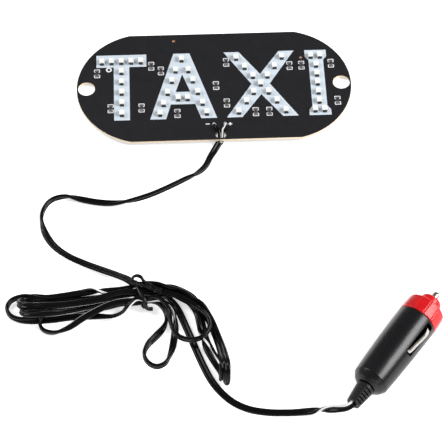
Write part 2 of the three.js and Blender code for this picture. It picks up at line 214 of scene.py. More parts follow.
MASK = finish("solder_mask", (0.0075, 0.0075, 0.0098), 0.42, 0.5, 0.004, 0.18, Specular_IOR_Level=0.4)
LAMINATE = laminate()
LEGEND = finish("legend_print", (0.60, 0.67, 0.74), 0.55, 0.35, 0.008, 0.035)
LINE_PRINT = finish("line_print", (0.82, 0.82, 0.84), 0.55, 0.3, 0.01, 0.12)
LED_BODY = finish("led_body", (0.88, 0.89, 0.88), 0.4, 0.3, 0.006, 0.03)
PHOSPHOR = finish("led_phosphor", (0.93, 0.93, 0.84), 0.22, 0.25, 0.012, 0.04,
                  Coat_Weight=0.5, Coat_Roughness=0.08)
# Real leads, coloured near black: the dark colour is painted shade on the LED packages' end faces.
LED_LEAD_SHADE = finish("led_lead_painted_shade", (0.05, 0.05, 0.055), 0.3, 0.2, 0.01, 0.35, Metallic=0.6)
TIN = finish("tin_solder", (0.5, 0.5, 0.52), 0.3, 0.35, 0.04, 0.22, Metallic=1.0)
CHIP = finish("chip_glaze", (0.035, 0.035, 0.038), 0.3, 0.2, 0.006, 0.3)
CHIP_CERAMIC = finish("chip_ceramic", (0.66, 0.66, 0.64), 0.6, 0.2, 0.01, 0.1)
COPPER = finish("copper", (0.72, 0.36, 0.20), 0.3, 0.25, 0.012, 0.2, Metallic=1.0)
VINYL = finish("cord_vinyl", (0.0018, 0.0018, 0.0022), 0.22, 0.45, 0.012, 0.3, Specular_IOR_Level=0.18)
STRIPE = finish("cord_stripe", (0.78, 0.78, 0.78), 0.42, 0.5, 0.01, 0.08)
TIE_VINYL = finish("tie_vinyl", (0.003, 0.003, 0.0035), 0.3, 0.35, 0.02, 0.3, Specular_IOR_Level=0.3)
PLUG_BLACK = finish("plug_moulding", (0.0035, 0.0035, 0.0045), 0.27, 0.28, 0.005, 0.2,
                    Specular_IOR_Level=0.36)
RELIEF_BLACK = finish("relief_moulding", (0.0045, 0.0045, 0.005), 0.45, 0.3, 0.014, 0.25,
                      Specular_IOR_Level=0.3)
CAP_RED = finish("cap_moulding", (0.56, 0.003, 0.006), 0.3, 0.4, 0.006, 0.10, Specular_IOR_Level=0.4)
NICKEL = finish("nickel", (0.47, 0.455, 0.42), 0.17, 0.3, 0.004, 0.14, (1, 5, 1), Metallic=1.0)
GLASS = clear_glass()


# ---- mesh helpers: points in millimetres, placed by a matrix ----

def add_object(name, mesh, place, sharp_deg):
    """Scales a mesh from millimetres, puts it in its place and shades it smooth except at its edges."""
    mesh.transform(Matrix.Scale(MM, 4) @ place)
    mesh.shade_smooth()
    mesh.set_sharp_from_angle(angle=math.radians(sharp_deg))
    mesh.name = name
    piece = bpy.data.objects.new(name, mesh)
    bpy.context.scene.collection.objects.link(piece)
    return piece


def mesh_of(points, faces, materials, slots=None):
    mesh = bpy.data.meshes.new("piece")
    mesh.from_pydata([tuple(p) for p in points], [], faces)
    for material in materials:
        mesh.materials.append(material)
    if slots:
        mesh.polygons.foreach_set("material_index", slots)
    mesh.validate()
    return mesh


def stand_in(piece, body, slot, *nodes):
    """The piece moves with the body and stands for the CAD nodes, which are hidden. slot is not used."""
    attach(piece, body)
    if nodes:
        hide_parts(*nodes)
    return piece


def ring_faces(rows, columns, closed_rows=False):
    """Faces between rings of points, each ring closed on itself."""
    faces = []
    for i in range(rows if closed_rows else rows - 1):
        for j in range(columns):
            k = (j + 1) % columns
            below = i * columns
            above = ((i + 1) % rows) * columns
            faces.append((below + j, below + k, above + k, above + j))
    return faces


def revolve(profile, materials, segments=72, spans=None, shape=None):
    """A solid of revolution round +Y from (radius, position) points. An open profile starts and ends on
    the axis, and one whose ends are off the axis closes on itself. spans gives each stretch's material,
    and shape may change a radius with the angle."""
    closed = profile[0][0] > 0
    rows = profile if closed else profile[1:-1]
    points = []
    for radius, along in rows:
        for j in range(segments):
            turn = 2 * math.pi * j / segments
            r = shape(radius, along, turn) if shape else radius
            points.append((r * math.sin(turn), along, r * math.cos(turn)))
    faces = ring_faces(len(rows), segments, closed)
    slots = [(spans[i] if spans else 0) for i in range(len(faces) // segments) for _ in range(segments)]
    if not closed:
        first = len(points)
        points += [(0, profile[0][1], 0), (0, profile[-1][1], 0)]
        last_row = (len(rows) - 1) * segments
        for j in range(segments):
            k = (j + 1) % segments
            faces.append((first, k, j))
            faces.append((first + 1, last_row + j, last_row + k))
        slots += [spans[0] if spans else 0, spans[-1] if spans else 0] * segments
    mesh = mesh_of(points, faces, materials, slots)
    tidy_normals(mesh)
    return mesh


def tidy_normals(mesh):
    bm = bmesh.new()
    bm.from_mesh(mesh)
    bmesh.ops.recalc_face_normals(bm, faces=bm.faces)
    bm.to_mesh(mesh)
    bm.free()


def rounded(profile, radius, steps=3):
    """A profile with each of its inner corners replaced by a short arc."""
    out = [profile[0]]
    for before, corner, after in zip(profile, profile[1:], profile[2:]):
        c = Vector(corner)
        to_before = Vector(before) - c
        to_after = Vector(after) - c
        cut = min(radius, to_before.length * 0.45, to_after.length * 0.45)
        a = c + to_before.normalized() * cut
        b = c + to_after.normalized() * cut
        for i in range(steps + 1):
            t = i / steps
            out.append(tuple(a * (1 - t) ** 2 + c * 2 * t * (1 - t) + b * t * t))
    out.append(profile[-1])
    return out


def plate(loops, bottom, height, edge, materials, side_slot=0):
    """A flat sheet from closed loops of points, holes among them, with softened edges."""
    data = bpy.data.curves.new("plate", "CURVE")
    data.dimensions = "2D"
    data.fill_mode = "BOTH"
    data.extrude = height / 2 - edge
    data.bevel_depth = edge
    data.bevel_resolution = 1
    data.offset = -edge
    for loop in loops:
        spline = data.splines.new("POLY")
        spline.points.add(len(loop) - 1)
        spline.use_cyclic_u = True
        for point, (x, y) in zip(spline.points, loop):
            point.co = (x, y, 0, 1)
    holder = bpy.data.objects.new("plate", data)
    mesh = bpy.data.meshes.new_from_object(holder)
    bpy.data.curves.remove(data)
    mesh.transform(Matrix.Translation((0, 0, bottom + height / 2)))
    mesh.materials.clear()
    for material in materials:
        mesh.materials.append(material)
    for face in mesh.polygons:
        face.material_index = side_slot if abs(face.normal.z) < 0.3 else 0
    return mesh


def joined(meshes):
    """One mesh from several that share their list of materials."""
    bm = bmesh.new()
    for mesh in meshes:
        bm.from_mesh(mesh)
    result = bpy.data.meshes.new("joined")
    bm.to_mesh(result)
    bm.free()
    for material in meshes[0].materials:
        result.materials.append(material)
    return result


def moved(mesh, place):
    copy = mesh.copy()
    copy.transform(place)
    return copy


def arc(x, y, radius, start_deg, end_deg, steps):
    out = []
    for i in range(steps + 1):
        turn = math.radians(start_deg + (end_deg - start_deg) * i / steps)
        out.append((x + radius * math.cos(turn), y + radius * math.sin(turn)))
    return out


def circle(x, y, radius, steps=48):
    return arc(x, y, radius, 0, 360, steps)[:-1]


def rounded_rectangle(x, y, width, length, radius):
    out = []
    for i, (sx, sy) in enumerate([(1, 1), (-1, 1), (-1, -1), (1, -1)]):
        cx = x + sx * (width / 2 - radius)
        cy = y + sy * (length / 2 - radius)
        out += arc(cx, cy, radius, 90 * i, 90 * i + 90, 4)
    return out


# ---- centrelines ----

def smooth_line(knots, step):
    """Points about a step apart on a centripetal Catmull-Rom curve through the knots."""
    p = np.array(knots, float)
    p = np.vstack([2 * p[0] - p[1], p, 2 * p[-1] - p[-2]])
    dense = []
    for p0, p1, p2, p3 in zip(p, p[1:], p[2:], p[3:]):
        t1 = np.linalg.norm(p1 - p0) ** 0.5
        t2 = t1 + np.linalg.norm(p2 - p1) ** 0.5
        t3 = t2 + np.linalg.norm(p3 - p2) ** 0.5
        t = np.linspace(t1, t2, 24, endpoint=False)[:, None]
        a1 = (t1 - t) / t1 * p0 + t / t1 * p1
        a2 = (t2 - t) / (t2 - t1) * p1 + (t - t1) / (t2 - t1) * p2
        a3 = (t3 - t) / (t3 - t2) * p2 + (t - t2) / (t3 - t2) * p3
        b1 = (t2 - t) / t2 * a1 + t / t2 * a2
        b2 = (t3 - t) / (t3 - t1) * a2 + (t - t1) / (t3 - t1) * a3
        dense.append((t2 - t) / (t2 - t1) * b1 + (t - t1) / (t2 - t1) * b2)
    dense = np.vstack([*dense, p[-2]])
    along = np.concatenate([[0], np.cumsum(np.linalg.norm(np.diff(dense, axis=0), axis=1))])
    at = np.linspace(0, along[-1], max(2, round(along[-1] / step) + 1))
    return np.stack([np.interp(at, along, dense[:, k]) for k in range(3)], axis=1)


def unit(rows):
    return rows / np.maximum(np.linalg.norm(rows, axis=1, keepdims=True), 1e-9)


def tangents(line):
    return unit(np.gradient(line, axis=0))


def even_out(rows, reach):
    """A running mean with a soft window, which keeps the ends."""
    window = np.hanning(2 * reach + 3)[1:-1]
    window /= window.sum()
    padded = np.concatenate([np.repeat(rows[:1], reach, 0), rows, np.repeat(rows[-1:], reach, 0)])
    return np.stack([np.convolve(column, window, "valid") for column in padded.T], axis=1)


def carried_frames(along):
    """Two directions across the line that are carried along it without twist."""
    first = [np.cross([0, 0, 1], along[0])]
    first[0] /= np.linalg.norm(first[0])
    for t in along[1:]:
        side = first[-1] - t * (first[-1] @ t)
        first.append(side / np.linalg.norm(side))
    first = np.array(first)
    return first, np.cross(along, first)


# How a flat cord rolls: the pull of a bend over its thin side, the pull to lie flat, and the lengths
# over which the bend, the sum of the two pulls and the roll are evened out
BEND_PULL = 1.6
FLAT_PULL = 0.06
BEND_REACH = 4
PULL_REACH = 7
ROLL_REACH = 9


def flat_frames(line, twists):
    """The width and thickness directions of a flat cord. It lies flat, and turns on edge where the line
    bends across the floor, because it only bends easily over its thin side. Each twist adds a turn from
    a place on."""
    along = tangents(line)
    step = np.linalg.norm(np.diff(line, axis=0), axis=1).mean()
    first, second = carried_frames(along)
    bend = even_out(np.gradient(along, axis=0) / step, max(1, round(BEND_REACH / step)))
    across = np.cross(along, bend)
    level = np.cross([0.0, 0.0, 1.0], along)

    def doubled(direction, weight):
        angle = np.arctan2((direction * second).sum(1), (direction * first).sum(1))
        return weight[:, None] * np.stack([np.cos(2 * angle), np.sin(2 * angle)], axis=1)

    wanted = doubled(across, BEND_PULL * np.linalg.norm(across, axis=1))
    wanted += doubled(level, FLAT_PULL * np.linalg.norm(level, axis=1) ** 2)
    wanted = even_out(wanted, max(1, round(PULL_REACH / step)))
    angle = np.unwrap(np.arctan2(wanted[:, 1], wanted[:, 0])) / 2
    angle = even_out(angle[:, None], max(1, round(ROLL_REACH / step)))[:, 0]
    place = np.arange(len(line)) * step
    for start, length, turn_deg in twists:
        t = np.clip((place - start) / length, 0, 1)
        angle += math.radians(turn_deg) * t * t * (3 - 2 * t)
    width = np.cos(angle)[:, None] * first + np.sin(angle)[:, None] * second
    return width, np.cross(along, width)


def swept(line, width, thick, section):
    """The points of a section, given as (across the width, through the thickness), along a line."""
    points = []
    for centre, w, t in zip(line, width, thick):
        points += [centre + u * w + v * t for u, v in section]
    return points


def capped(rows, columns):
    """The faces of a swept tube with its two ends closed."""
    last = (rows - 1) * columns
    return ring_faces(rows, columns) + [tuple(range(columns))[::-1], tuple(range(last, last + columns))]


def round_section(radius, sides):
    turns = [2 * math.pi * j / sides for j in range(sides)]
    return [(radius * math.cos(t), radius * math.sin(t)) for t in turns]


def tube(knots, radius, materials, sides=16, step=0.5, stripe=()):
    line = smooth_line(knots, step)
    first, second = carried_frames(tangents(line))
    faces = capped(len(line), sides)
    slots = [int(i % sides in stripe and i < len(faces) - 2) for i in range(len(faces))]
    mesh = mesh_of(swept(line, first, second, round_section(radius, sides)), faces, materials, slots)
    tidy_normals(mesh)
    return mesh


# ---- twin cord: every point is x, y and how far its underside is above the floor ----

WAIST_LEFT = -46
WAIST_RIGHT = -38
FAR, MIDDLE, NEAR = -129.2, -133.1, -137
LOW, HALF, TOP = 1.1, 3.05, 5.0

BOARD_LEAD = [
    (1, -38.2, 0.4),
    (-1.2, -42, 0),
    (-3.6, -46.4, 0),
    (-6.8, -53, 0),
    (-11.5, -57.8, 0),
    (-18, -61.5, 0),
    (-27, -66.4, 0),
    (-36, -70.7, 0),
    (-45.5, -73.8, 0),
    (-55, -74.9, 0),
    (-64, -73.9, 0),
    (-72, -72, 0),
    (-80.5, -70.2, 0),
    (-88.4, -72.7, 0),
    (-92.8, -80.5, 0),
    (-92, -90.5, 0),
    (-86.8, -100.2, 0),
    (-79.4, -107, 0),
    (-71, -112, 0.4),
    (-62, -117, 1.6),
    (-54, -121.6, 3.2),
    (-49.6, -124.6, 4.3),
]


def right(column, row):
    return [(WAIST_LEFT + 2, column, row), (WAIST_RIGHT, column, row)]


def left(column, row):
    return right(column, row)[::-1]


def fold(start, end, way):
    """A half circle from one point to another that bulges in a direction."""
    a, b, out = Vector(start), Vector(end), Vector(way)
    middle = (a + b) / 2
    radius = (a - b).length / 2
    points = []
    for i in range(5):
        turn = math.pi * i / 4
        points.append(tuple(middle + (a - middle) * math.cos(turn) + out * radius * math.sin(turn)))
    return points


LONG_FOLD_A = [
    (-31, -130.2, 5),
    (-24, -131.8, 4.9),
    (-17.6, -135.6, 4.6),
    (-11.8, -141.8, 4),
    (-7.8, -149, 3),
    (-5, -157, 2.4),
    (-2.9, -166, 5.6),
    (-1.7, -173, 9.2),
    *fold((-0.9, -180.2, 12.6), (-1.4, -180.2, 0), (0, -1, 0)),
    (-4, -174, 0),
    (-7.2, -167, 0),
    (-10.2, -159.5, 0),
    (-11.8, -151, 0),
    (-13.2, -144, 0),
    (-17.4, -137.2, 0.4),
    (-24, -132, 1),
    (-31, -129.6, 1.1),
]

INNER_FOLD_A = [
    (-53, -130.8, 0.8),
    (-60, -132.6, 0.4),
    (-69, -133.4, 0),
    (-80, -134, 0),
    (-91, -133.6, 0),
    *fold((-98, -133.2, 0.1), (-98, -141.6, 7.9), (-1, 0, 0)),
    (-90, -140.9, 7),
    (-80, -139.6, 5.6),
    (-70, -137.8, 4.7),
    (-60, -135.6, 3.9),
    (-52, -133.9, 3.3),
]

LONG_FOLD_B = [
    (-31, -133.6, 3),
    (-24.4, -135.4, 2.9),
    (-18.6, -139, 2.4),
    (-14.6, -144.8, 2.1),
    (-12.9, -151.6, 2),
    (-11.9, -159, 2),
    (-9.8, -166, 2),
    (-6.6, -173, 2),
    *fold((-3.1, -179.6, 1.6), (-2.7, -179.6, 13), (0, -1, 0)),
    (-3.3, -172, 9.2),
    (-4.2, -164.5, 4.8),
    (-5.6, -157, 1.4),
    (-8.1, -149, 0.8),
    (-12, -142, 2),
    (-17.8, -135.9, 2.65),
    (-24, -132.2, 2.95),
    (-31, -130.4, 3.05),
]

OUTER_FOLD = [
    (-54, -130.6, 2.9),
    (-63.2, -130.4, 2.2),
    (-72, -130.4, 1.4),
    (-81, -131.2, 0.5),
    (-90.1, -131.8, 0),
    (-97.6, -130.8, 0),
    (-103.1, -131.3, 0),
    (-108, -133.7, 0),
    (-109.8, -138, 0),
    (-108, -142.2, 0),
    (-103.7, -144.6, 0),
    (-96.6, -145.2, 0),
    (-86.6, -144.8, 0),
    (-76, -143.6, 0),
    (-65.4, -143.8, 0),
    (-56.6, -144.4, 0),
    (-51.6, -142.9, 1.2),
    (-47.6, -139.2, 3.9),
]

U_LOOP = [
    (-33.2, -137.6, 5),
    (-29.8, -141.2, 4.6),
    (-28.2, -146, 4.2),
    (-27.6, -151.6, 4.1),
    (-26.2, -156.6, 4.1),
    (-22.6, -160.6, 4.1),
    (-17.1, -161.9, 4.1),
    (-11.9, -160.4, 4.2),
    (-8.7, -156.2, 4.6),
    (-8.5, -151.6, 5),
    (-10.9, -146.8, 5.2),
    (-14.6, -142.4, 4.8),
    (-19.2, -138.8, 4.6),
    (-25.4, -135.4, 5),
    (-31.4, -133.4, 5),
]

SMALL_FOLD = [
    (-52, -133, 4.8),
    (-60, -134.6, 4.1),
    (-68, -136.8, 3.3),
    (-76, -139, 2.5),
    (-84, -140.6, 2.1),
    (-90.2, -142.8, 1.8),
    (-93, -146.6, 0.9),
    (-91.8, -150.8, 0.2),
    (-86.4, -152.8, 0),
    (-79.4, -150.4, 0),
    (-71.6, -145.6, 1.6),
    (-64, -141.6, 2.6),
    (-58, -139, 3.2),
    (-52, -137.4, 3.1),
]

TEARDROP = [
    (-33, -137.5, 2.9),
    (-29, -139.6, 2.6),
    (-26.2, -143.6, 2),
    (-25.2, -149.6, 0.8),
    (-26.2, -158.4, 0),
    (-27.9, -166.4, 0),
    (-30.8, -172.4, 0),
    (-35, -174.2, 0),
    (-39.1, -172, 0),
    (-41.2, -167.4, 0),
    (-39.6, -162, 0),
    (-35.3, -156.8, 0),
    (-31, -151.6, 0),
    (-29.6, -146.4, 0),
    (-30.8, -141.4, 0.4),
    (-34, -138, 1),
]

INNER_FOLD_B = [
    (-52, -137.2, 1.1),
    (-60, -138.6, 0.4),
    (-70, -139.4, 0),
    (-80, -139.4, 0),
    (-90, -138.8, 0),
    *fold((-96.6, -137.6, 0.1), (-96.6, -146, 7.9), (-1, 0, 0)),
    (-88, -144.6, 6.2),
    (-78, -141.8, 3.6),
    (-68, -138.4, 1.4),
    (-59, -134.4, 0.8),
    (-52, -133.3, 0.9),
]

HANK_EXIT = [
    (-32, -133.5, 1),
    (-27.4, -136, 0.5),
    (-24.2, -140.6, 0),
    (-20.9, -148.8, 0),
    (-18.6, -155.4, 0),
]

PLUG_LEAD = [
    (-16.3, -162.2, 0),
    (-14.2, -168.4, 0),
    (-11.6, -175.4, 0),
    (-8.4, -182.6, 0),
    (-3.9, -189.4, 0),
    (2.2, -195.4, 0),
    (9.6, -199.3, 0),
    (19.4, -201.4, 0),
    (29.6, -201.9, 0),
    (37.6, -202.3, 1.4),
    (44.6, -203.2, 4),
    (50.8, -204.6, 7),
    (55.6, -205.2, 8.9),
    (58.6, -203.9, 9.5),
    (60.9, -201, 9.55),
    (64, -197, 9.55),
]

CORD_ROUTE = [
    *BOARD_LEAD,
    *right(FAR, TOP),
    *LONG_FOLD_A,
    *left(FAR, LOW),
    *INNER_FOLD_A,
    *right(MIDDLE, HALF),
    *LONG_FOLD_B,
    *left(FAR, HALF),
    *OUTER_FOLD,
    *right(NEAR, TOP),
    *U_LOOP,
    *left(MIDDLE, TOP),
    *SMALL_FOLD,
    *right(NEAR, HALF),
    *TEARDROP,
    *left(NEAR, LOW),
    *INNER_FOLD_B,
    *right(MIDDLE, LOW),
    *HANK_EXIT,
    *PLUG_LEAD,
]

# Half turns, which put the striped core on one side or the other, and quarter turns, which stand the
# cord on edge and lay it flat again: where each starts, how long it takes and its angle in degrees
CORD_TWISTS = [
    (-1, 0.5, 180),
    (4, 16, 90),
    (56, 22, -90),
    (193, 14, 180),
    (216, 14, -180),
    (274, 14, 180),
    (322, 14, 180),
    (358, 12, 180),
    (485, 14, 180),
    (530, 18, -180),
    (648, 12, -180),
    (670, 16, 180),
    (797, 12, 180),
    (817, 14, 180),
    (1004, 12, 180),
    (1030, 16, 180),
    (1168, 16, 180),
    (1236, 12, 180),
    (1368, 14, -180),
]


def twin_section():
    """Two round cores side by side, joined where they touch."""
    points = []
    for side in (1, -1):
        for i in range(13):
            turn = math.radians(-150 + 25 * i)
            points.append((side * (CORE_R + CORE_R * math.cos(turn)), side * CORE_R * math.sin(turn)))
    return points


CORD_STEP = 1.0
STRIPE_FACES = (6, 7, 8)


def cord_frames():
    """The cord's centreline, lifted by its own half height, with its width and thickness directions."""
    line = smooth_line(CORD_ROUTE, CORD_STEP)
    width, thick = flat_frames(line, CORD_TWISTS)
    half_height = CORE_R * (1 + np.abs(width[:, 2]))
    line[:, 2] = np.maximum(line[:, 2] + even_out(half_height[:, None], 4)[:, 0], half_height)
    return line, width, thick


def make_cord():
    line, width, thick = cord_frames()
    section = twin_section()
    columns = len(section)
    faces = capped(len(line), columns)
    slots = [int(i % columns in STRIPE_FACES and i < len(faces) - 2) for i in range(len(faces))]
    mesh = mesh_of(swept(line, width, thick, section), faces, [VINYL, STRIPE], slots)
    tidy_normals(mesh)
    return add_object("twin_cord", mesh, Matrix.Identity(4), 50), line


cord, cord_path = make_cord()
stand_in(
    cord, "sign", "cord",
    "cord_board_lead", "cord_hank_left", "cord_hank_waist", "cord_hank_right",
    "cord_long_loop", "cord_teardrop_loop", "cord_plug_lead",
)


# ---- floor, light ----

def make_floor():
    m = Nodes("floor")
    m.colours(m.noise(3, 2), (0.3, (0.90, 0.90, 0.90)), (0.7, (0.93, 0.93, 0.93)))
    m.set(Roughness=0.9, Specular_IOR_Level=0.1, Emission_Color=(1, 1, 1, 1), Emission_Strength=0.56)
    mesh = mesh_of([(-3000, -3000, 0), (3000, -3000, 0), (3000, 3000, 0), (-3000, 3000, 0)],
                   [(0, 1, 2, 3)], [m.material])
    add_object("floor", mesh, Matrix.Identity(4), 30)


def soft_box(name, place, target, width, height, power):
    data = bpy.data.lights.new(name, "AREA")
    data.shape = "RECTANGLE"
    data.size = width
    data.size_y = height
    data.energy = power
    light = bpy.data.objects.new(name, data)
    bpy.context.scene.collection.objects.link(light)
    turn = (Vector(target) - Vector(place)).to_track_quat("-Z", "Y").to_matrix().to_4x4()
    light.matrix_world = Matrix.Translation(place) @ turn


def make_light():
    world = bpy.data.worlds.new("studio")
    world.use_nodes = True
    world.node_tree.nodes["Background"].inputs["Color"].default_value = (1, 1, 1, 1)
    world.node_tree.nodes["Background"].inputs["Strength"].default_value = 0.27
    bpy.context.scene.world = world
    soft_box("right", (0.95, -0.2, 0.74), (0.06, -0.15, 0), 0.7, 0.55, 16)
    soft_box("left", (-0.95, 0.3, 0.95), (0, -0.1, 0), 0.35, 0.8, 9)
    soft_box("front", (-0.1, -1.5, 0.5), (0, -0.1, 0), 1.4, 0.5, 4)
    bpy.context.scene.view_settings.view_transform = "Standard"


make_floor()
make_light()


# ---- circuit board ----

def board_outline():
    sagitta = BOARD_HALF_LENGTH - STRAIGHT_HALF
    radius = (BOARD_HALF_WIDTH ** 2 + sagitta ** 2) / (2 * sagitta)
    centre = BOARD_HALF_LENGTH - radius
    swing = math.degrees(math.asin(BOARD_HALF_WIDTH / radius))
    return arc(centre, 0, radius, -swing, swing, 48) + arc(-centre, 0, radius, 180 - swing, 180 + swing, 48)


def cord_hole():
    x, y = CORD_HOLE
    reach = CORD_HOLE_HALF_WIDTH - CORD_HOLE_R
    return arc(x + reach, y, CORD_HOLE_R, -90, 90, 16) + arc(x - reach, y, CORD_HOLE_R, 90, 270, 16)


TOOLING_HOLES = [(-21.3, 32.7), (48.5, 18.3)]


def make_board():
    holes = [circle(side * END_HOLE_X, 0, END_HOLE_R) for side in (-1, 1)]
    holes += [cord_hole()] + [circle(x, y, 0.55, 20) for x, y in TOOLING_HOLES]
    mesh = plate([board_outline(), *holes], 0, BOARD_THICKNESS, 0.07, [MASK, LAMINATE], 1)
    board = add_object("board_laminate", mesh, BOARD, 30)
    stand_in(board, "sign", "board", "circuit_board")
    rims = joined([
        plate([circle(x, y, 0.95, 28), circle(x, y, 0.56, 28)], 0, PRINT_THICKNESS, 0.008, [COPPER])
        for x, y in TOOLING_HOLES
    ])
    stand_in(add_object("tooling_hole_rims", rims, ON_BOARD, 30), "sign", "board")


make_board()


# ---- white prints: four block letters, pad outlines, polarity signs ----

BAND_TOP = 23.53
BAND_BOTTOM = -22.67


def letter_shapes():
    """Block letters drawn on a plain grid of strokes."""
    t = -50.5
    bar = BAND_TOP - 8.74
    t_shape = [(t - 13.76, BAND_TOP), (t - 13.76, bar), (t - 4.27, bar), (t - 4.27, BAND_BOTTOM),
               (t + 4.27, BAND_BOTTOM), (t + 4.27, bar), (t + 13.76, bar), (t + 13.76, BAND_TOP)]
    a = -17.3
    foot = -12.6
    a_shape = [(a - 4.43, BAND_TOP), (a - 18.07, BAND_BOTTOM), (a - 9.49, BAND_BOTTOM), (a - 6.7, foot),
               (a + 6.5, foot), (a + 9.49, BAND_BOTTOM), (a + 18.07, BAND_BOTTOM), (a + 4.43, BAND_TOP)]
    a_hole = [(a, 8.5), (a + 4.1, -3.9), (a - 3.9, -3.9)]
    x = 25.45
    far, inner = 19.45, 11.04
    notch = 7.3
    x_shape = [(x - far, BAND_TOP), (x - inner, BAND_TOP), (x, notch), (x + inner, BAND_TOP),
               (x + far, BAND_TOP), (x + 5, 0.35), (x + far, BAND_BOTTOM), (x + inner, BAND_BOTTOM),
               (x, 0.3 - notch), (x - inner, BAND_BOTTOM), (x - far, BAND_BOTTOM), (x - 5, 0.35)]
    i = 56.77
    stem, serif, reach = 4.05, 5.94, 2.5
    level = 16.3
    i_shape = [(i - serif, BAND_TOP), (i - serif, level + reach), (i - stem, level), (i - stem, -level),
               (i - serif, -level - reach), (i - serif, BAND_BOTTOM), (i + serif, BAND_BOTTOM),
               (i + serif, -level - reach), (i + stem, -level), (i + stem, level),
               (i + serif, level + reach), (i + serif, BAND_TOP)]
    return [[t_shape], [a_shape, a_hole], [x_shape], [i_shape]]


def make_legends():
    letters = joined([plate(loops, 0, PRINT_THICKNESS, 0.008, [LEGEND]) for loops in letter_shapes()])
    stand_in(add_object("letter_prints", letters, ON_BOARD, 30), "sign", "legend")


def make_line_prints(pads):
    line = 0.42
    shapes = []
    for x, y in pads:
        outer = rounded_rectangle(x, y, 3.3, 2.3, 0.45)
        inner = rounded_rectangle(x, y, 3.3 - 2 * line, 2.3 - 2 * line, 0.25)
        shapes.append([outer, inner])
    shapes.append([circle(-57.4, 13.1, 1.65), circle(-57.4, 13.1, 0.85)])
    shapes.append([rounded_rectangle(-4.5, -26.8, 2.1, 0.66, 0.15)])
    x, y, arm, half = 7.6, -27.1, 1.05, 0.3
    shapes.append([[
        (x - half, y + arm), (x - half, y + half), (x - arm, y + half), (x - arm, y - half),
        (x - half, y - half), (x - half, y - arm), (x + half, y - arm), (x + half, y - half),
        (x + arm, y - half), (x + arm, y + half), (x + half, y + half), (x + half, y + arm),
    ]])
    lines = joined([plate(loops, 0, PRINT_THICKNESS, 0.008, [LINE_PRINT]) for loops in shapes])
    stand_in(add_object("pad_outline_prints", lines, ON_BOARD, 30), "sign", "legend")


make_legends()


# ---- LEDs: places are read from the frame's strings ----

TO_BOARD = (Matrix.Scale(MM, 4) @ ON_BOARD).inverted()


def led_places(node):
    """The middles of a string's LED packages, from the separate top faces of its solid."""
    mesh = NODES[node].data
    corners = [TO_BOARD @ v.co for v in mesh.vertices]
    top = max(c.z for c in corners) - 0.02
    block = {}
    for face in mesh.polygons:
        keys = [tuple(round(c, 2) for c in corners[v]) for v in face.vertices]
        if min(key[2] for key in keys) < top:
            continue
        merged = set(keys).union(*(block.get(key, ()) for key in keys))
        for key in merged:
            block[key] = merged
    places = []
    for keys in {id(b): b for b in block.values()}.values():
        low = [min(k[i] for k in keys) for i in (0, 1)]
        high = [max(k[i] for k in keys) for i in (0, 1)]
        places.append(((low[0] + high[0]) / 2, (low[1] + high[1]) / 2))
    return sorted(places)


def box_mesh(low, high, materials, slot, edge):
    """A block with softened edges."""
    bm = bmesh.new()
    bmesh.ops.create_cube(bm, size=1)
    size = Vector(high) - Vector(low)
    middle = (Vector(high) + Vector(low)) / 2
    for v in bm.verts:
        v.co = Vector(v.co[k] * size[k] + middle[k] for k in range(3))
    bmesh.ops.bevel(bm, geom=bm.edges[:], offset=edge, segments=2, affect="EDGES", profile=0.5)
    for face in bm.faces:
        face.material_index = slot
    mesh = bpy.data.meshes.new("block")
    bm.to_mesh(mesh)
    bm.free()
    for material in materials:
        mesh.materials.append(material)
    return mesh


LED_MATERIALS = [LED_BODY, PHOSPHOR, LED_LEAD_SHADE, TIN]


def led_mesh():
    """A two-lead package: a white cup with a corner mark, a domed phosphor fill, folded leads coloured near
    black as painted shade on its end faces, and solder.
    """
    half_w = LED_WIDTH / 2
    half_l = LED_LENGTH / 2
    wall = half_l - 0.18
    top = LED_HEIGHT + LED_GAP
    mark = 0.55
    outline = [(-half_w, -wall), (half_w, -wall), (half_w, wall - mark), (half_w - mark, wall),
               (-half_w, wall)]
    cup = plate([outline, circle(0, 0, 1.18, 40)], 0.45, top - 0.45, 0.05, LED_MATERIALS)
    base = plate([outline], 0.2, 0.75, 0.04, LED_MATERIALS)
    fill = revolve([(0, top - 0.2), (0.7, top - 0.17), (1.16, top - 0.08), (1.19, top - 0.3), (0, top - 0.6)],
                   LED_MATERIALS, 32, [1] * 5)
    fill.transform(Matrix.Rotation(math.pi / 2, 4, "X"))
    parts = [cup, base, fill]
    for side in (-1, 1):
        # Lead blocks over both end faces: real leads, coloured near black as painted shade there.
        ends = sorted((side * (wall - 0.05), side * half_l))
        parts.append(box_mesh((-1.1, ends[0], 0.1), (1.1, ends[1], 1.7), LED_MATERIALS, 2, 0.05))
        feet = sorted((side * (wall - 0.9), side * (half_l + 0.3)))
        parts.append(box_mesh((-1.2, feet[0], 0.0), (1.2, feet[1], 0.22), LED_MATERIALS, 3, 0.08))
    return joined(parts)


def make_leds():
    package = led_mesh()
    strings = sorted(n for n in NODES if n.startswith("led_string"))
    for node in strings:
        places = led_places(node)
        parts = [moved(package, Matrix.Translation((x, y, 0))) for x, y in places]
        piece = add_object(node.replace("string", "packages"), joined(parts), ON_BOARD, 40)
        stand_in(piece, "sign", "led", node)


make_leds()


# ---- chip resistors ----

CHIP_MATERIALS = [CHIP, CHIP_CERAMIC, TIN]
PAD_OFFSET = 1.9


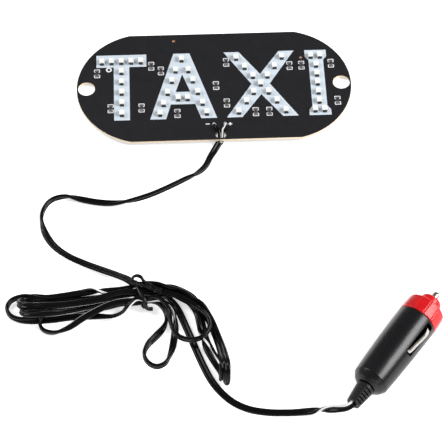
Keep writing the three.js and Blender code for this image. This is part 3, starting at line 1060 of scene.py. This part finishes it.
def resistor_mesh():
    """A chip with a glazed top, bare ceramic sides and tinned ends, on two solder pads."""
    base = 0.12
    top = 0.62
    parts = [
        box_mesh((-0.8, -1.5, base), (0.8, 1.5, top), CHIP_MATERIALS, 1, 0.04),
        box_mesh((-0.76, -1.12, top - 0.02), (0.76, 1.12, top + 0.05), CHIP_MATERIALS, 0, 0.02),
    ]
    for side in (-1, 1):
        ends = sorted((side * 1.12, side * 1.6))
        parts.append(box_mesh((-0.83, ends[0], base - 0.02), (0.83, ends[1], top + 0.04),
                              CHIP_MATERIALS, 2, 0.06))
        pad = sorted((side * (PAD_OFFSET - 0.6), side * (PAD_OFFSET + 0.5)))
        parts.append(box_mesh((-0.95, pad[0], 0), (0.95, pad[1], 0.14), CHIP_MATERIALS, 2, 0.06))
        slope = sorted((side * 1.5, side * (PAD_OFFSET + 0.35)))
        parts.append(box_mesh((-0.8, slope[0], 0.1), (0.8, slope[1], 0.34), CHIP_MATERIALS, 2, 0.11))
    return joined(parts)


def make_resistors():
    chip = resistor_mesh()
    pads = []
    for node in sorted(n for n in NODES if n.startswith("resistor")):
        low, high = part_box(node)
        middle = TO_BOARD @ ((low + high) / 2)
        piece = add_object(node.replace("resistor", "chip_resistor"),
                           moved(chip, Matrix.Translation((middle.x, middle.y, 0))), ON_BOARD, 40)
        stand_in(piece, "sign", "resistor", node)
        pads += [(middle.x, middle.y + PAD_OFFSET), (middle.x, middle.y - PAD_OFFSET)]
    make_line_prints(pads)


make_resistors()


# ---- solder joints and the two cores ----

PADS = {"minus": (-1.1, -26.9), "plus": (4.9, -26.9)}


def make_joints():
    for name, (x, y) in PADS.items():
        blob = [(0, 0), (1.3, 0), (1.28, 0.1), (1.1, 0.25), (0.95, 0.55), (0.7, 0.9), (0.35, 1.1), (0, 1.18)]

        def uneven(radius, along, turn):
            return radius * (1 + 0.09 * math.sin(2 * turn + 1) + 0.05 * math.sin(5 * turn))

        mesh = revolve(rounded(blob, 0.2), [TIN], 40, None, uneven)
        mesh.transform(Matrix.Translation((x, y, 0)) @ Matrix.Rotation(math.pi / 2, 4, "X"))
        piece = add_object(f"solder_{name}", mesh, ON_BOARD, 50)
        stand_in(piece, "sign", "solder", f"solder_joint_{name}")


def core_route(x, y, side):
    hole = CORD_HOLE[0] + side * CORE_R
    return [
        (x, y - 0.9, 0.95),
        (x, y - 1.6, 1.15),
        (x + (hole - x) * 0.35, y - 3.6, 1.35),
        (x + (hole - x) * 0.85, CORD_HOLE[1] + 2.7, 1.15),
        (hole, CORD_HOLE[1], -0.8),
        (hole - 0.3, CORD_HOLE[1] - 2, -2.55),
        (hole - 0.9, CORD_HOLE[1] - 3.9, -2.75),
    ]


def make_cores():
    materials = [VINYL, STRIPE, COPPER]
    for (name, (x, y)), side, stripe in zip(PADS.items(), (-1, 1), ((), (3, 4, 5))):
        knots = core_route(x, y, side)
        jacket = tube(knots[1:], 0.8, materials, 18, 0.4, stripe)
        strands = tube(knots[:3], 0.42, materials, 12, 0.3)
        for face in strands.polygons:
            face.material_index = 2
        piece = add_object(f"stripped_core_{name}", joined([jacket, strands]), ON_BOARD, 50)
        stand_in(piece, "sign", "cord", f"core_{name}")


make_joints()
make_cores()


# ---- twist tie: a vinyl strip with a wire in it ----

def strip_section(width, thickness):
    """A flat strip with round edges and a bulge over its wire."""
    half = width / 2
    t = thickness / 2
    top = [(half - 0.12, t * 0.7), (0.45, t * 0.75), (0.2, t * 1.5), (-0.2, t * 1.5), (-0.45, t * 0.75),
           (-half + 0.12, t * 0.7)]
    return [(half, 0)] + top + [(-half, 0)] + [(u, -v) for u, v in reversed(top)]


def strip(knots, width, thickness, turns=0.0):
    line = smooth_line(knots, 0.35)
    first, second = carried_frames(tangents(line))
    turn = np.linspace(0, 2 * math.pi * turns, len(line))[:, None]
    across = np.cos(turn) * first + np.sin(turn) * second
    through = np.cross(tangents(line), across)
    section = strip_section(width, thickness)
    mesh = mesh_of(swept(line, across, through, section), capped(len(line), len(section)), [TIE_VINYL])
    tidy_normals(mesh)
    return mesh


TIE_BAND = [
    (-43.9, -131, 7.6),
    (-42.4, -134.6, 7.7),
    (-40.9, -138, 7.3),
    (-40.1, -140, 5.6),
    (-39.9, -140.3, 2.6),
    (-40.8, -139, 0.9),
    (-42.4, -134.4, 0.8),
    (-43.9, -129, 0.85),
    (-44.9, -126.4, 2.4),
    (-45.2, -126.2, 5.4),
    (-44.8, -128, 7.2),
    (-43.8, -131, 7.65),
]

TIE_EAR = [
    (-44.6, -129.2, 8.1),
    (-46.2, -127.9, 8.6),
    (-46, -126.2, 8.9),
    (-44.2, -125.2, 9),
    (-42, -126, 8.9),
    (-40.8, -128, 8.8),
    (-38.8, -129.8, 8.6),
    (-36.4, -131.2, 8.2),
    (-34.2, -132.4, 7.9),
    (-31.6, -133.2, 7.6),
]

TIE_TAIL = [
    (-45.4, -129.8, 8.3),
    (-43.4, -130.6, 8.9),
    (-41.2, -131.2, 9),
    (-38.8, -131.8, 8.7),
    (-36.2, -133.2, 8.2),
    (-33.4, -134.6, 7.8),
    (-31.6, -135.4, 7.5),
]

TIE_TUCK = [
    (-40.6, -139.6, 4.9),
    (-39.6, -141, 3.8),
    (-38.2, -141.4, 3),
    (-36.4, -141.2, 2.6),
]


def make_tie():
    mesh = joined([
        strip(TIE_BAND, 2.1, 0.7),
        strip(TIE_EAR, 1.9, 1.0, 1.5),
        strip(TIE_TAIL, 1.9, 1.0, 2.0),
        strip(TIE_TUCK, 2.1, 0.7),
    ])
    return stand_in(add_object("wire_tie", mesh, Matrix.Identity(4), 45), "sign", "tie", "twist_tie")


tie = make_tie()


# ---- plug ----

def plug_piece(name, mesh, body, slot, *nodes, sharp=35):
    return stand_in(add_object(name, mesh, PLUG, sharp), body, slot, *nodes)


def cut_slots(housing):
    """Cuts the two long openings that the earth contacts stand out of."""
    for i, angle in enumerate((CONTACT_ANGLE, CONTACT_ANGLE + math.pi)):
        middle = (SLOT_START + SLOT_END) / 2
        outline = rounded_rectangle(0, middle, 2 * SLOT_HALF_WIDTH, SLOT_END - SLOT_START, 1.4)
        cutter = plate([outline], 6.4, 6, 0.05, [PLUG_BLACK])
        cutter.transform(Matrix.Rotation(angle, 4, "Y"))
        tool = add_object(f"slot_cutter_{i}", cutter, PLUG, 30)
        cut = housing.modifiers.new("slot", "BOOLEAN")
        cut.object = tool
        cut.operation = "DIFFERENCE"
        cut.solver = "EXACT"
        bpy.context.view_layer.update()
        evaluated = housing.evaluated_get(bpy.context.evaluated_depsgraph_get())
        mesh = bpy.data.meshes.new_from_object(evaluated)
        housing.modifiers.clear()
        housing.data = mesh
        bpy.data.objects.remove(tool)
    housing.data.set_sharp_from_angle(angle=math.radians(35))


def make_housing():
    profile = rounded([
        (3.4, -4.2), (5.3, -4.2), (7.5, -2.6), (9.2, 0), (9.7, 9), (10.15, 22), (10.5, 41.3), (7.6, 41.3),
        (7.6, 47.6), (6.2, 47.6), (6.2, 43.4), (3.5, 43.4), (3.5, 39.4), (8, 39.4), (8, 13.2),
        (5.2, 13.2), (5.2, 19.5), (3.5, 19.5), (3.5, 11), (2, 11), (2, 5), (3.4, 5),
    ], 0.22)
    housing = add_object("plug_shell", revolve(profile, [PLUG_BLACK], 128), PLUG, 35)
    cut_slots(housing)
    stand_in(housing, "sign", "plug", "plug_housing")
    return housing


def make_cap():
    flats = 12

    def grip(radius, along, turn):
        """Flats round the ring, with narrow ridges where they meet."""
        if radius < 9.4:
            return radius
        from_middle = (turn * flats / (2 * math.pi) + 0.5) % 1 - 0.5
        flat = math.cos(math.pi / flats) / math.cos(2 * math.pi / flats * from_middle)
        groove = max(0.0, abs(from_middle) - 0.43) / 0.07
        fade = min(1.0, max(0.0, (along - 41.9) / 0.5))
        return radius - fade * (0.6 * radius * (1 - flat) + 0.3 * groove)

    profile = rounded([
        (8, 41.6), (10.42, 41.6), (10.6, 42.4), (10.45, 46), (10.2, 50.3), (9.8, 50.8), (6.4, 51),
        (5.75, 51.9), (5.6, 55.3), (4.9, 56.4), (2.3, 56.4), (2.3, 52.3), (3.5, 52.3), (3.5, 49.2), (8, 49.2),
    ], 0.3)
    mesh = revolve(profile, [CAP_RED], 240, None, grip)
    return plug_piece("red_cap", mesh, "screw_cap", "cap", "screw_cap", sharp=30)


def make_pin():
    dome = [(2 * math.cos(math.radians(a)), 59.9 + 2 * math.sin(math.radians(a))) for a in range(0, 90, 10)]
    profile = [(0, 48.9), (1.5, 48.9), (1.5, 50.7), (3.2, 50.7), (3.2, 52), (2, 52), (2, 57.6), (1.85, 57.75),
               (2, 57.9), *dome, (0, 61.9)]
    return plug_piece("centre_pin", revolve(profile, [NICKEL], 48), "contact_pin", "nickel", "contact_pin")


def make_spring():
    """A coil spring of six and a half turns, its coils closer at the ends."""
    coils = 6.5
    start, length = 43.5, 6.7
    knots = []
    for i in range(131):
        t = i / 130
        turn = 2 * math.pi * coils * t
        along = start + length * (t - math.sin(2 * math.pi * t) / 14)
        knots.append((2.3 * math.cos(turn), along, 2.3 * math.sin(turn)))
    spring = add_object("coil_spring", tube(knots, 0.26, [NICKEL], 10, 0.3), PLUG, 35)
    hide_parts("pin_spring")
    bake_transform(spring)
    return spring


def make_fuse():
    end = FUSE_START + FUSE_LENGTH
    wall = FUSE_R - 0.25
    for name, closed_end, way in (("rear", FUSE_START, 1), ("front", end, -1)):
        lip = closed_end + way * 6
        inside = closed_end + way * 0.4
        profile = [(0, closed_end), (FUSE_R, closed_end), (FUSE_R, lip), (wall, lip), (wall, inside),
                   (0, inside)]
        plug_piece(f"fuse_ferrule_{name}", revolve(rounded(profile, 0.25), [NICKEL], 48), "sign", "nickel",
                   f"fuse_cap_{name}")
    sleeve = [(2.1, FUSE_START + 0.7), (2.65, FUSE_START + 0.7), (2.65, end - 0.7), (2.1, end - 0.7)]
    plug_piece("fuse_tube", revolve(rounded(sleeve, 0.15), [GLASS], 48), "sign", "glass", "fuse_glass")
    wave = [(0.25 * math.sin(s * 0.9), s, 0.2 * math.cos(s * 0.7))
            for s in np.linspace(FUSE_START + 0.8, end - 0.8, 24)]
    plug_piece("fuse_element", tube(wave, 0.12, [TIN], 8, 0.6), "sign", "nickel", "fuse_wire")


def make_rear_contacts():
    rivet = rounded([(0, 7), (0.9, 7), (0.9, 11.3), (3, 11.3), (3, 12.6), (0, 12.6)], 0.2)
    plug_piece("rear_rivet", revolve(rivet, [NICKEL], 40), "sign", "nickel", "rear_contact")
    band = rounded([(6.2, 14.4), (7.5, 14.4), (7.5, 18.7), (6.2, 18.7)], 0.3)
    plug_piece("contact_ring", revolve(band, [NICKEL], 64), "sign", "nickel", "earth_ring")


CONTACT_LINE = [
    (0, 19.2, 7),
    (0, 20.4, 7.5),
    (0, 22.2, 9.5),
    (0, 27, 10.5),
    (0, 31, 11.3),
    (0, 34, 11.7),
    (0, 36.6, 11.2),
    (0, 39.4, 8.9),
]


def make_contacts():
    """Bowed spring strips that narrow at their free ends."""
    line = smooth_line(CONTACT_LINE, 0.35)
    along = tangents(line)
    out = np.cross(np.tile([1.0, 0, 0], (len(line), 1)), along)
    points = []
    for i, (centre, normal) in enumerate(zip(line, out)):
        t = i / (len(line) - 1)
        half = 1.1 - 0.25 * max(0, t - 0.86) / 0.14
        for u, v in ((half, -0.17), (half, 0.17), (half - 0.15, 0.2), (-half + 0.15, 0.2), (-half, 0.17),
                     (-half, -0.17), (-half + 0.15, -0.2), (half - 0.15, -0.2)):
            points.append(centre + np.array([u, 0, 0]) + v * normal)
    for side, angle in (("right", CONTACT_ANGLE), ("left", CONTACT_ANGLE + math.pi)):
        mesh = mesh_of(points, capped(len(line), 8), [NICKEL])
        tidy_normals(mesh)
        mesh.transform(Matrix.Rotation(angle, 4, "Y"))
        node = f"earth_contact_{side}"
        plug_piece(f"spring_contact_{side}", mesh, node, "nickel", node, sharp=40)


def make_relief():
    """A tapered sleeve with a row of cross slits down two of its sides."""
    rings = 6
    end, start = -15.7, -4.5
    pitch = (start - end) / rings
    slits = []
    outer = []
    for i in range(rings):
        s = end + pitch * i
        r = 3.4 + 1.3 * (i + 0.3) / rings
        outer += [(r - 0.05, s), (r + 0.02, s + 0.3), (r + 0.16, s + pitch * 0.6)]
        if i < rings - 1:
            slits += [s + pitch * 0.7, s + pitch * 0.92]
            outer += [(r + 0.16, s + pitch * 0.7), (r + 0.16, s + pitch * 0.92)]
    outer += [(4.6, start - 0.15), (3.7, start), (3, start + 0.5), (3, 2), (2, 2), (2, end)]

    def slit(radius, along, turn):
        deep = any(abs(along - s) < 1e-6 for s in slits)
        side = min(1.0, max(0.0, (abs(math.cos(turn - SLIT_ANGLE)) - 0.88) / 0.05))
        return radius - (1.1 * side if deep else 0)

    mesh = revolve(outer, [RELIEF_BLACK], 72, None, slit)
    return plug_piece("ribbed_relief", mesh, "sign", "plug", "strain_relief", sharp=40)


housing = make_housing()
relief = make_relief()
make_cap()
make_pin()
make_spring()
make_fuse()
make_rear_contacts()
make_contacts()
